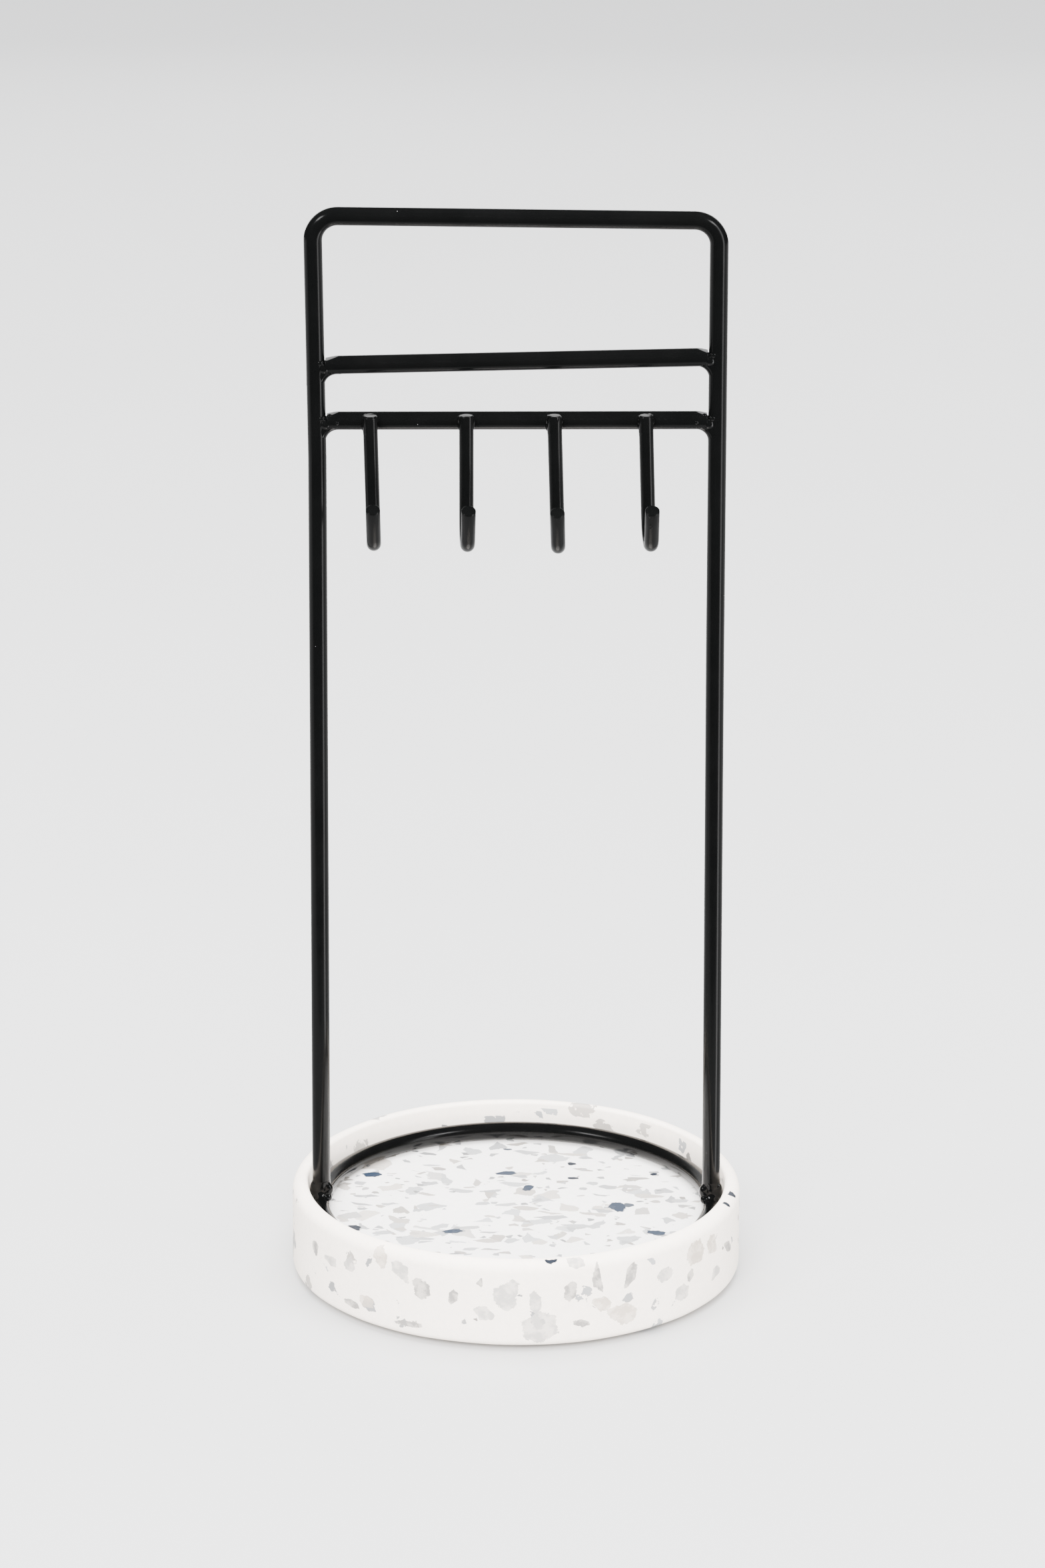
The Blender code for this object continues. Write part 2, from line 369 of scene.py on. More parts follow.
handed_on = sheet.scaled((1, 1, 1), sheet.math("MULTIPLY", mask, 1e-6))
sheet.join(sheet.vector("ADD", source["Vector"], handed_on), target.inputs["Vector"])
print("group:", sheet.tree.name)

# %% [markdown]
# ## Coat grain and dust
# Sprayed black coat isn't a perfect mirror. It has a low, soft swell called orange peel, and a
# few specks of dust sit on it. The same group serves the rods and the welds, each with its own
# strength.

# %% Group: coat grain
sheet, source, target = new_group(
    "coat grain",
    [("Vector", "vector", (0, 0, 0)), ("Peel Size", "value", 1.0), ("Dust", "value", 0.5)],
    [("Height", "value"), ("Specks", "value"), ("Cloud", "value")],
)
scale = sheet.math("DIVIDE", 1.0, source["Peel Size"])
peel = sheet.noise(source["Vector"], scale, 2.0, 0.45).outputs["Fac"]
sheet.join(peel, target.inputs["Height"])
grains = sheet.add(
    "ShaderNodeTexVoronoi", {"Vector": source["Vector"], "Scale": 0.3}, feature="F1"
)
grain_pick = sheet.add("ShaderNodeSeparateColor", {0: grains.outputs["Color"]}).outputs
small = sheet.step(grains.outputs["Distance"], 0.036, 0.018)
few = sheet.math("LESS_THAN", grain_pick[0], sheet.math("MULTIPLY", source["Dust"], 0.2))
sheet.join(sheet.math("MULTIPLY", small, few), target.inputs["Specks"])
cloud = sheet.noise(source["Vector"], 0.06, 4.0, 0.6).outputs["Fac"]
sheet.join(cloud, target.inputs["Cloud"])
print("group:", sheet.tree.name)

# %% [markdown]
# ## The terrazzo finish
# The casting is a warm white binder. Against the mould wall the chips lie under a thin film of
# binder, so on the outside they are faint and torn at the edge. The floor of the tray is ground
# flatter, so its chips are sharper, closer together and a little darker. Several layers of
# chips are laid over each other: large, medium and slivers, each turned another way, and the
# coloured stones come last.

# %% Terrazzo material
terrazzo, sheet, shader, here = new_material("cast_terrazzo")
spot = sheet.add("ShaderNodeSeparateXYZ", {0: here}).outputs
from_axis = sheet.vector("LENGTH", sheet.vector("MULTIPLY", here, (1, 1, 0)))
on_floor = sheet.math(
    "MULTIPLY",
    sheet.step(from_axis, 69.9, 69.5),
    sheet.step(spot[2], 21.5, 20.0),
)
stain = sheet.noise(here, 0.035, 4.0, 0.55).outputs["Fac"]
mottle = sheet.noise(here, 0.5, 5.0, 0.65).outputs["Fac"]
binder_wall = sheet.mix(stain, grey(0.885, 0.10), grey(0.85, 0.13))
binder_floor = sheet.mix(stain, grey(0.80, 0.040), grey(0.74, 0.030))
colour = sheet.mix(on_floor, binder_wall, binder_floor)

# %% Terrazzo: layers of chips
CHIP_LAYERS = [
    # cell on wall and floor, gap, share on wall and floor, stretch, turn, pale, dark
    ((10.0, 8.5), 0.12, (0.14, 0.17), (1.0, 1.0, 1.0), (0.3, 0.5, 0.2), 0.43, 0.26),
    ((7.5, 6.2), 0.13, (0.12, 0.20), (1.0, 0.8, 1.1), (0.9, 0.1, 1.1), 0.39, 0.21),
    ((5.5, 4.8), 0.12, (0.09, 0.17), (0.6, 1.4, 1.0), (0.2, 1.3, 2.1), 0.35, 0.17),
    ((3.4, 3.0), 0.13, (0.05, 0.14), (0.9, 1.2, 1.1), (1.9, 0.7, 0.4), 0.31, 0.14),
]
CREAM = 0.10


def by_place(on_wall, down_on_floor):
    """A value that differs between the outside of the casting and its floor."""
    return sheet.math(
        "ADD", on_wall, sheet.math("MULTIPLY", on_floor, down_on_floor - on_wall)
    )


clear_rim = sheet.step(spot[2], 30.0, 25.0, 0.25, 1.0)
fewer_in_front = sheet.math("MAXIMUM", on_floor, sheet.step(spot[1], -20.0, 15.0, 0.35, 1.0))
spread = sheet.math("MULTIPLY", clear_rim, fewer_in_front)
chip_cover = 0.0
for number, (cell, gap, share, stretch, turn, pale, dark) in enumerate(CHIP_LAYERS):
    layer = use_group(
        sheet,
        "chip layer",
        vector=sheet.vector("ADD", here, (37.0 * number, 11.0 * number, 5.0 * number)),
        turn=turn,
        stretch=stretch,
        cell_size=by_place(*cell),
        gap=gap,
        share=sheet.math("MULTIPLY", by_place(*share), spread),
        warp=by_place(1.0, 0.7),
        tear=by_place(0.22, 0.05),
    )
    cream = sheet.mix(layer["Random"], grey(pale * 1.1, CREAM), grey(dark * 1.2, CREAM))
    plain = sheet.mix(layer["Random"], grey(pale), grey(dark))
    shade = sheet.mix(sheet.step(layer["Second Random"], 0.55, 0.75), plain, cream)
    colour = sheet.mix(layer["Mask"], colour, shade)
    chip_cover = sheet.math("MAXIMUM", chip_cover, layer["Mask"])
print("chip layers:", len(CHIP_LAYERS))

# %% Terrazzo: the stones that catch the eye
BLUE = (0.016, 0.025, 0.042, 1)
SLATE = (0.044, 0.052, 0.066, 1)
INK = (0.012, 0.015, 0.022, 1)
FLOOR_STONES = [
    # x, y, half length, half width, turn in degrees, colour, in mm on the tray's floor
    (-49, 32, 3.8, 2.5, 15, BLUE),
    (-3, 34, 4.3, 2.3, 10, BLUE),
    (4, 21, 2.5, 2.8, -25, BLUE),
    (34, 4, 4.0, 5.2, 30, BLUE),
    (47, -18, 4.2, 2.6, -20, BLUE),
    (-21, -18, 3.8, 2.3, 12, BLUE),
    (-54, -16, 2.6, 3.0, 40, INK),
    (19, 43, 1.9, 1.7, 0, INK),
    (19, 30, 2.3, 1.3, -15, INK),
    (30, 59, 1.8, 1.1, 0, INK),
    (47, 34, 1.6, 1.4, 60, INK),
    (-3, 56, 2.2, 1.1, 0, SLATE),
    (38, 6, 2.2, 2.4, 60, SLATE),
]
stone_draw = random.Random(11)


def cut_depths(least=0.62):
    """How far three cuts lie from a stone's middle, as a share of its half size."""
    return tuple(stone_draw.uniform(least, 1.0) for _ in range(3))


frayed = sheet.noise(here, 0.9, 4.0, 0.65).outputs["Color"]
frayed = sheet.vector("SUBTRACT", frayed, (0.5, 0.5, 0.5))
film = sheet.step(sheet.noise(here, 0.3, 3.0, 0.6).outputs["Fac"], 0.40, 0.62, 1.0, 0.65)
place = here
for x, y, length, width, turn, stone_colour in FLOOR_STONES:
    stone = use_group(
        sheet,
        "placed chip",
        vector=place,
        fray=frayed,
        centre=(x, y, FLOOR_Z / MM),
        half_size=(length, width, 2.0),
        turn=(0, 0, math.radians(turn)),
        ragged=0.55,
        right_cuts=cut_depths(),
        left_cuts=cut_depths(),
    )
    place = stone["Vector"]
    colour = sheet.mix(stone["Mask"], colour, stone_colour)
print("stones placed on the floor:", len(FLOOR_STONES))

# %% Terrazzo: larger stones in the front of the wall
PALE = grey(0.41, 0.07)
CREAMY = grey(0.43, 0.17)
MID = grey(0.23, 0.07)
WALL_STONES = [
    # angle from the front in degrees, height, half length, half height, turn, colour
    (-36, 27, 3.0, 3.4, 20, CREAMY),
    (-30, 24, 3.8, 3.4, 10, PALE),
    (-24, 19, 3.8, 4.4, 0, MID),
    (-2, 20, 4.8, 6.2, 15, PALE),
    (-8, 13, 3.0, 3.0, 30, PALE),
    (5, 9, 6.0, 4.8, 0, PALE),
    (14, 20, 2.4, 3.4, 10, MID),
    (21, 24, 1.9, 5.2, -8, MID),
    (28, 10, 5.6, 5.0, 20, CREAMY),
    (30, 23, 2.2, 4.2, 15, MID),
    (41, 20, 4.8, 3.2, -20, PALE),
    (53, 24, 4.4, 4.6, 35, CREAMY),
    (-63, 20, 2.6, 3.0, 20, MID),
    (-55, 19, 3.6, 1.8, 10, PALE),
    (-47, 21, 3.0, 2.4, -15, PALE),
    (-46, 7, 3.2, 1.4, 0, MID),
    (-41, 10, 2.8, 2.1, 20, CREAMY),
    (-28, 6, 5.0, 1.2, -5, MID),
    (-16, 18, 1.5, 2.4, 10, MID),
    (-9, 24, 1.1, 1.8, 0, MID),
    (5, 18, 2.1, 4.0, 5, PALE),
    (17, 9, 3.2, 1.8, 10, MID),
    (22, 15, 2.9, 2.6, 30, CREAMY),
    (16, 30, 3.0, 1.5, 10, PALE),
    (47, 12, 3.4, 3.0, 15, PALE),
    (50, 16, 1.9, 2.2, 0, MID),
    (60, 23, 3.4, 4.0, -10, CREAMY),
    (62, 12, 3.2, 3.0, 25, PALE),
    (70, 17, 3.8, 2.3, 35, MID),
    (9, 31.4, 2.6, 1.6, 5, INK),
    (80, 31.5, 1.9, 1.5, 30, INK),
    (73, 30.5, 1.2, 1.2, 0, INK),
]
WALL_TEAR = 0.5
WALL_STONE_SCALE = 1.22
DEEPEST_CUT = 0.48
for angle, z, length, tall, turn, stone_colour in WALL_STONES:
    around = math.radians(angle)
    radius = TRAY_RADIUS / MM
    stone = use_group(
        sheet,
        "placed chip",
        vector=place,
        fray=frayed,
        centre=(radius * math.sin(around), -radius * math.cos(around), z),
        half_size=(length * WALL_STONE_SCALE, tall * WALL_STONE_SCALE, 3.0),
        turn=(math.pi / 2, math.radians(turn), around),
        ragged=WALL_TEAR,
        right_cuts=cut_depths(DEEPEST_CUT),
        left_cuts=cut_depths(DEEPEST_CUT),
    )
    place = stone["Vector"]
    chip_cover = sheet.math("MAXIMUM", chip_cover, stone["Mask"])
    shown = stone["Mask"] if stone_colour == INK else sheet.math("MULTIPLY", stone["Mask"], film)
    colour = sheet.mix(shown, colour, stone_colour)
print("stones placed in the wall:", len(WALL_STONES))

# %% Terrazzo: surface
BINDER_ROUGHNESS = 0.46
CHIP_POLISH = 0.10
EDGE_SHADE = 1.4
PIT_DEPTH = 1.5
pits = use_group(
    sheet,
    "chip layer",
    vector=here,
    turn=(0.4, 0.2, 0.9),
    stretch=(1.0, 1.0, 1.0),
    cell_size=3.0,
    gap=0.40,
    share=0.05,
    warp=0.5,
)["Mask"]
fine_pores = sheet.noise(here, 2.2, 3.0, 0.6).outputs["Fac"]
chip_edge = sheet.math("MULTIPLY", chip_cover, sheet.math("SUBTRACT", 1.0, chip_cover))
edge_here = sheet.step(stain, 0.45, 0.6, 0.0, EDGE_SHADE)
tone = sheet.math(
    "SUBTRACT",
    sheet.step(mottle, 0.3, 0.7, 0.965, 1.02),
    sheet.math("MULTIPLY", chip_edge, edge_here),
)
tint = sheet.add("ShaderNodeCombineColor", {0: tone, 1: tone, 2: tone}).outputs[0]
toned = sheet.add("ShaderNodeMix", {0: 1.0, 6: colour, 7: tint}, data_type="RGBA")
toned.blend_type = "MULTIPLY"
sheet.join(toned.outputs[2], shader.inputs["Base Color"])
polish = sheet.math("MULTIPLY", chip_cover, CHIP_POLISH)
roughness = sheet.math("SUBTRACT", BINDER_ROUGHNESS, polish)
sheet.join(
    sheet.math("ADD", roughness, sheet.math("MULTIPLY", mottle, 0.10)),
    shader.inputs["Roughness"],
)
height = sheet.math("ADD", sheet.math("MULTIPLY", fine_pores, 0.25), mottle)
height = sheet.math("SUBTRACT", height, sheet.math("MULTIPLY", pits, PIT_DEPTH))
bump = sheet.add("ShaderNodeBump", {"Strength": 0.18, "Distance": 0.0003, "Height": height})
sheet.join(bump.outputs[0], shader.inputs["Normal"])
shader.inputs["Specular IOR Level"].default_value = 0.45
print("material:", terrazzo.name)

# %% [markdown]
# ## The black coat
# The steel has a thin, glossy black coat. Bare black under a sharp gloss reads as wet, so the
# coat is black with a moderate roughness. Two finishes share the grain group: the smooth rods,
# and the welds, where the coat lies over ripples and is a little glossier.


# %% Coat materials
DEEP_BLACK = (0.0010, 0.0011, 0.0011, 1)
SOFT_BLACK = (0.0020, 0.0021, 0.0021, 1)
DUST_GREY = grey(0.22)


def black_coat(name, roughness, peel_size, peel_depth, dust, shine):
    """A sprayed black coat. Peel size is in millimetres, peel depth in metres."""
    material, sheet, shader, here = new_material(name)
    grain = use_group(sheet, "coat grain", vector=here, peel_size=peel_size, dust=dust)
    body = sheet.mix(grain["Cloud"], DEEP_BLACK, SOFT_BLACK)
    sheet.join(sheet.mix(grain["Specks"], body, DUST_GREY), shader.inputs["Base Color"])
    worn = sheet.step(grain["Cloud"], 0.3, 0.7, -0.035, 0.045)
    rough = sheet.math("ADD", roughness, worn)
    rough = sheet.math("ADD", rough, sheet.math("MULTIPLY", grain["Specks"], 0.4))
    sheet.join(rough, shader.inputs["Roughness"])
    bump = sheet.add("ShaderNodeBump", {"Strength": 0.2, "Distance": peel_depth})
    sheet.join(grain["Height"], bump.inputs["Height"])
    sheet.join(bump.outputs[0], shader.inputs["Normal"])
    shader.inputs["Specular IOR Level"].default_value = shine
    print("material:", name)
    return material


rod_coat = black_coat("black_coat_rods", 0.19, 2.6, 0.00004, 0.5, 0.14)
weld_coat = black_coat("black_coat_welds", 0.10, 1.4, 0.00006, 0.3, 0.18)

# %% [markdown]
# ## Silicone for the feet
# The four pads under the tray are clear silicone. It is soft, slightly milky and rather glossy,
# and it picks up dust, so its roughness varies in small clouds.

# %% Silicone material
silicone, sheet, shader, here = new_material("silicone_pad")
haze = sheet.noise(here, 0.8, 4.0, 0.6).outputs["Fac"]
sheet.join(sheet.mix(haze, grey(0.55, 0.01), grey(0.68, 0.02)), shader.inputs["Base Color"])
sheet.join(sheet.step(haze, 0.3, 0.7, 0.28, 0.48), shader.inputs["Roughness"])
bump = sheet.add("ShaderNodeBump", {"Strength": 0.2, "Distance": 0.0001, "Height": haze})
sheet.join(bump.outputs[0], shader.inputs["Normal"])
shader.inputs["Subsurface Weight"].default_value = 0.15
shader.inputs["Subsurface Radius"].default_value = (0.002, 0.002, 0.002)
print("material:", silicone.name)

# %% [markdown]
# ## The tray
# The tray is one casting: a thick disc with a shallow round recess. A cylinder gives the disc,
# and its top face is inset by the wall's thickness and pushed down to make the recess. The
# outer edge of the rim is well rounded, the inner one only eased, and the corner of the floor
# has a small fillet from the mould. Bevels on those edge loops make all three.

# %% Tray
WALL = 5.2 * MM
RIM_OUTER_ROUND = 3.85 * MM
RIM_INNER_ROUND = 1.25 * MM
FLOOR_FILLET = 2.0 * MM
FOOT_ROUND = 2.2 * MM
BANDS_AT = (8, 13, 18, 23)
SWELL_WIDTH = 22 * MM
SWELL_HEIGHT = 0.22 * MM
deselect_everything()
bpy.ops.mesh.primitive_cylinder_add(
    vertices=256,
    radius=TRAY_RADIUS,
    depth=RIM_Z - TRAY_BASE,
    location=(0, 0, (RIM_Z + TRAY_BASE) / 2),
)
tray = name_and_open("cast_tray")
pick(tray, "FACE", lambda f: f.normal.z > 0.9)
bpy.ops.mesh.inset(thickness=WALL)
bpy.ops.mesh.extrude_region_move(TRANSFORM_OT_translate={"value": (0, 0, FLOOR_Z - RIM_Z)})


def round_loop(piece, radius, height, width, segments):
    """Bevels the level edge loop that has this radius and height."""
    near = 0.1 * MM

    def on_loop(edge):
        flat = all(abs(v.co.z - height) < near for v in edge.verts)
        return flat and all(abs(v.co.xy.length - radius) < near for v in edge.verts)

    pick(piece, "EDGE", on_loop)
    bpy.ops.mesh.bevel(offset=width, segments=segments, affect="EDGES")


round_loop(tray, TRAY_RADIUS, RIM_Z, RIM_OUTER_ROUND, 10)
round_loop(tray, TRAY_RADIUS - WALL, RIM_Z, RIM_INNER_ROUND, 5)
round_loop(tray, TRAY_RADIUS - WALL, FLOOR_Z, FLOOR_FILLET, 6)
round_loop(tray, TRAY_RADIUS, TRAY_BASE, FOOT_ROUND, 6)

# %% [markdown]
# A wide flat face next to a bevel would be shaded with the bevel's slope. A narrow inset just
# inside each flat keeps the flats flat. The wall is then cut into a few bands, so that it can
# be made slightly uneven: a hand-cast wall is never a perfect cylinder.

# %% Tray: flats, bands and the hand-cast unevenness
pick(tray, "FACE", lambda f: abs(f.normal.z) > 0.99 and len(f.verts) > 100)
bpy.ops.mesh.inset(thickness=1.0 * MM, use_individual=True)
for height in BANDS_AT:
    bpy.ops.mesh.select_all(action="SELECT")
    bpy.ops.mesh.bisect(plane_co=(0, 0, height * MM), plane_no=(0, 0, 1))
close_piece()
swell = bpy.data.textures.new("hand_cast_swell", "CLOUDS")
swell.noise_scale = SWELL_WIDTH
swell.noise_depth = 1
apply_modifier(
    tray,
    "DISPLACE",
    texture=swell,
    texture_coords="GLOBAL",
    strength=SWELL_HEIGHT,
    mid_level=0.5,
)
hand_over(tray, "tray", "terrazzo", terrazzo, "terrazzo_tray")

# %% [markdown]
# ## The four feet
# Each foot is a small clear disc with an eased edge. It is modelled once, with its flat faces
# inset, and copied to the other three places. Each copy keeps a mesh of its own, with its place
# inside it.

# %% Feet
pad_low, pad_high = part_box("front_left_foot_pad")
pad_radius = (pad_high.x - pad_low.x) / 2
deselect_everything()
bpy.ops.mesh.primitive_cylinder_add(
    vertices=48, radius=pad_radius, depth=TRAY_BASE, location=(0, 0, TRAY_BASE / 2)
)
pad = name_and_open("clear_pad")
pick(pad, "EDGE", lambda e: abs(e.verts[0].co.z - e.verts[1].co.z) < 0.1 * MM)
bpy.ops.mesh.bevel(offset=0.4 * MM, segments=4, affect="EDGES")
pick(pad, "FACE", lambda f: abs(f.normal.z) > 0.99 and len(f.verts) > 20)
bpy.ops.mesh.inset(thickness=0.5 * MM, use_individual=True)
close_piece()
for corner in ("front_left", "front_right", "back_left", "back_right"):
    low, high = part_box(corner + "_foot_pad")
    copy = pad.copy()
    copy.data = pad.data.copy()
    copy.name = copy.data.name = corner + "_clear_pad"
    bpy.context.scene.collection.objects.link(copy)
    middle_of_pad = (low + high) / 2
    copy.data.transform(Matrix.Translation((middle_of_pad.x, middle_of_pad.y, 0)))
    hand_over(copy, "tray", "silicone", silicone, corner + "_foot_pad")
bpy.data.objects.remove(pad)

# %% [markdown]
# ## The ring
# The ring is the same rod as the arch, rolled into a hoop that lies on the tray's floor. Its
# round section is a circle standing on edge, and spinning it a full turn about the tray's axis
# sweeps out the hoop. The first and last section meet, so doubles are merged and the normals
# are turned outwards.

# %% Ring
deselect_everything()
bpy.ops.mesh.primitive_circle_add(
    vertices=32,
    radius=ROD_RADIUS,
    location=(RING_RADIUS, 0, RING_Z),
    rotation=(math.pi / 2, 0, 0),
)
ring = name_and_open("ring_rod")
bpy.ops.mesh.select_mode(type="EDGE")
bpy.ops.mesh.select_all(action="SELECT")
bpy.ops.mesh.spin(steps=192, angle=2 * math.pi, center=(0, 0, 0), axis=(0, 0, 1))
bpy.ops.mesh.select_all(action="SELECT")
bpy.ops.mesh.remove_doubles(threshold=0.01 * MM)
bpy.ops.mesh.normals_make_consistent(inside=False)
close_piece()
hand_over(ring, "frame", "black_steel", rod_coat, "base_ring")

# %% [markdown]
# ## Drawing out a rod
# A bent rod is made the way it is in a bender. A circle is set at one end, facing along the
# rod. It is extruded for each straight run, and spun about a point beside it for each bend.
# The ends are then filled, ground where the real rod was ground, and their edges are eased.


# %% Rod helper
def start_rod(name, start, toward, radius, sides=32):
    """A circle at the rod's start, facing toward."""
    deselect_everything()
    turn = toward.to_track_quat("Z", "Y").to_euler()
    bpy.ops.mesh.primitive_circle_add(
        vertices=sides, radius=radius, location=start, rotation=turn
    )
    rod = name_and_open(name)
    bpy.ops.mesh.select_mode(type="EDGE")
    bpy.ops.mesh.select_all(action="SELECT")
    return rod


def run_straight(step, pieces=1):
    """Extrudes the open end along a straight run, in equal pieces."""
    for _ in range(pieces):
        bpy.ops.mesh.extrude_region_move(
            TRANSFORM_OT_translate={"value": tuple(step / pieces)}
        )


def bend(at, heading, side, radius, angle, steps):
    """Spins the open end round a former beside the rod. Returns the new place and heading."""
    centre = at + side * radius
    axis = side.cross(heading)
    bpy.ops.mesh.spin(steps=steps, angle=angle, center=centre, axis=axis)
    turned = heading * math.cos(angle) + side * math.sin(angle)
    new_side = side * math.cos(angle) - heading * math.sin(angle)
    return centre - new_side * radius, turned


def fill_ends(rod):
    """Closes both open ends with flat faces and turns all faces outwards."""
    pick(rod, "EDGE", lambda e: e.is_boundary)
    bpy.ops.mesh.edge_face_add()
    bpy.ops.mesh.select_all(action="SELECT")
    bpy.ops.mesh.normals_make_consistent(inside=False)


def grind(piece, point, normal, reach=1.0):
    """Takes away what lies beyond a flat plane, within reach of a point on it."""
    pick(piece, "FACE", lambda f: (middle(f) - point).length < reach)
    bpy.ops.mesh.bisect(
        plane_co=tuple(point), plane_no=tuple(normal), clear_outer=True, use_fill=True
    )


def ease_cuts(rod, ease):
    """Takes the sharp edge off every flat cut, then closes the piece."""
    pick(rod, "EDGE", lambda e: any(len(f.verts) > 8 for f in e.link_faces))
    bpy.ops.mesh.bevel(offset=ease, segments=3, affect="EDGES")
    close_piece()


# %% [markdown]
# ## The arch
# The two uprights and the handle are one rod. It was bent by hand, so nothing is quite square:
# the left leg leans out a touch above its knee, the right leg leans in, and the handle drops a
# little to the right. Those few tenths of a degree make it look real.

# %% Arch
CORNER_RADIUS = 8.0 * MM
arch_points = [
    Vector((-65.4, 0, 25.6)) * MM,
    Vector((-65.7, 0, 282.0)) * MM,
    Vector((-67.0, 0, 362.6)) * MM,
    Vector((63.5, 0, 361.7)) * MM,
    Vector((64.1, 0, 217.0)) * MM,
    Vector((65.4, 0, 25.6)) * MM,
]
foot_left, knee_left, top_left, top_right, knee_right, foot_right = arch_points
place = foot_left
heading = (knee_left - foot_left).normalized()
arch = start_rod("arch_rod", place, heading, ROD_RADIUS)
run_straight(knee_left - place, 4)
place = knee_left
for corner, after in ((top_left, top_right), (top_right, knee_right)):
    heading = (corner - place).normalized()
    onward = (after - corner).normalized()
    angle = heading.angle(onward)
    side = (onward - heading * heading.dot(onward)).normalized()
    bend_start = corner - heading * CORNER_RADIUS * math.tan(angle / 2)
    run_straight(bend_start - place, 3)
    place, heading = bend(bend_start, heading, side, CORNER_RADIUS, angle, 16)
run_straight(knee_right - place, 3)
run_straight(foot_right - knee_right, 4)
fill_ends(arch)
ease_cuts(arch, 0.4 * MM)
hand_over(arch, "frame", "black_steel", rod_coat, "upright_frame")

# %% [markdown]
# ## The crossbars
# Each crossbar is a straight length of the same rod, sawn to fit between the legs. Both rise a
# little to the right. The top corner of each end was ground off before welding, so a small
# dark notch shows above the weld. Bisect does the grinding: it cuts along a plane, drops what
# lies beyond it and fills the cut.

# %% Crossbars
GROUND_LENGTH = 3.8 * MM
GROUND_DEPTH = 1.1 * MM
bars = {}
for place_name, node in (("upper", "upper_crossbar"), ("lower", "lower_crossbar")):
    low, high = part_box(node)
    left_end = Vector((low.x, 0, low.z + ROD_RADIUS))
    right_end = Vector((high.x, 0, high.z - ROD_RADIUS))
    bar = start_rod(place_name + "_bar_rod", left_end, right_end - left_end, ROD_RADIUS)
    run_straight(right_end - left_end, 6)
    fill_ends(bar)
    for end, inward in ((left_end, 1), (right_end, -1)):
        corner = end + Vector((inward * GROUND_LENGTH, 0, ROD_RADIUS))
        slope = Vector((-inward * GROUND_DEPTH, 0, GROUND_LENGTH)).normalized()
        grind(bar, corner, slope)
    ease_cuts(bar, 0.2 * MM)
    hand_over(bar, "frame", "black_steel", rod_coat, node)
    bars[place_name] = (left_end, right_end)

# %% [markdown]
# ## The hooks
# Four thinner rods are welded to the front of the lower crossbar. Each runs straight down,
# turns back up through 150 degrees and ends in a short tip that flares forwards. The four were
# bent one by one, so each is hung, turned and dropped by its own small amount.

# %% Hooks
HOOK_Y = -5.65 * MM
HOOK_RISE = 0.4 * MM
HOOK_BEND_RADIUS = 7.5 * MM
HOOK_TURN = math.radians(150)
HOOK_TIP_LENGTH = 13.0 * MM
SAW_LOSS = 0.25 * MM
HOOK_EASE = 0.32 * MM
HOOKS = [
    # top x, sideways lean, turn in degrees, height where the bend begins, slope of the sawn top
    (-48.5, 0.9, 1.8, 264.8, (0.04, -0.14, 1)),
    (-17.4, 0.1, 2.6, 264.6, (-0.05, 0.06, 1)),
    (11.0, 1.1, 0.7, 264.2, (0.10, 0.08, 1)),
    (40.5, 1.1, 3.5, 265.0, (-0.08, -0.05, 1)),
]
lower_left, lower_right = bars["lower"]
tips = {}


def bar_height(x):
    """The height of the lower crossbar's middle line at x."""
    share = (x - lower_left.x) / (lower_right.x - lower_left.x)
    return lower_left.z + share * (lower_right.z - lower_left.z)


for number, (top_x, lean, turn, bend_z, top_slope) in enumerate(HOOKS, 1):
    top = Vector((top_x * MM, HOOK_Y, bar_height(top_x * MM) + ROD_RADIUS + HOOK_RISE))
    bottom = Vector(((top_x + lean) * MM, HOOK_Y, bend_z * MM))
    heading = downward = (bottom - top).normalized()
    hook = start_rod(f"hook_rod_{number}", top, heading, HOOK_RADIUS, 28)
    run_straight(bottom - top, 3)
    forward = Vector((math.sin(math.radians(turn)), -math.cos(math.radians(turn)), 0))
    side = (forward - heading * heading.dot(forward)).normalized()
    place, heading = bend(bottom, heading, side, HOOK_BEND_RADIUS, HOOK_TURN, 24)
    run_straight(heading * HOOK_TIP_LENGTH, 2)
    fill_ends(hook)
    grind(hook, top + downward * SAW_LOSS, Vector(top_slope))
    if number == 3:
        low_edge = top + Vector((0, -HOOK_RADIUS, -2.6 * MM))
        grind(hook, low_edge, Vector((-0.1, -0.93, 0.36)), 12 * MM)
    tips[number] = (place + heading * HOOK_TIP_LENGTH, heading)
    ease_cuts(hook, HOOK_EASE)
    hand_over(hook, "frame", "black_steel", rod_coat, f"hook_{number}")

# %% [markdown]
# ## The welds
# A weld is metal that was liquid: it creeps a little way along both rods, has no hard edge
# where it meets them, and freezes in lumps. Balls and stubs of rod are set where the weld is,
# joined, and remeshed into one skin with small voxels. Smoothing then draws fillets between
# them. A stub is about as thick as its rod and thinner at its ends, so that the skin sinks into
# the rod with no visible step.

# %% Weld helpers
WELD_SKIN = 0.07 * MM


def ball(at, size):
    """A ball of weld metal, stretched to size."""
    deselect_everything()
    bpy.ops.mesh.primitive_uv_sphere_add(segments=32, ring_count=16, radius=1, location=at)
    blob = bpy.context.object
    blob.scale = size
    bpy.ops.object.transform_apply(location=True, rotation=True, scale=True)
    return blob


